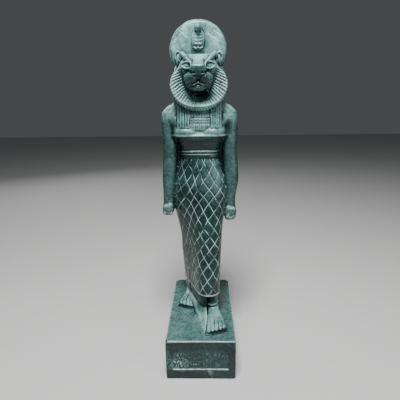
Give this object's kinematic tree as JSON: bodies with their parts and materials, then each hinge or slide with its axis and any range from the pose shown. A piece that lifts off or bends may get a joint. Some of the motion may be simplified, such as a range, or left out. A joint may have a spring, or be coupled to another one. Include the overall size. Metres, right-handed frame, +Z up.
{
  "type": "sekhmet statue",
  "caption": "Standing lioness-headed figure with sun disk, lattice dress and clenched hands, carved with its plinth and back pillar from one dark green stone",
  "frame": {"origin": "centre of the plinth's underside, which is the bottom centre of the object's box", "axes": "+Z up, the figure faces -Y, +X is the figure's left-hand side"},
  "size_m": [0.0708, 0.108, 0.2985],
  "materials": {
    "stone": "waxy dark green-grey stone with a pale grey-green bloom"
  },
  "bodies": {
    "root": {"sekhmet_statue": "stone"}
  },
  "joints": []
}
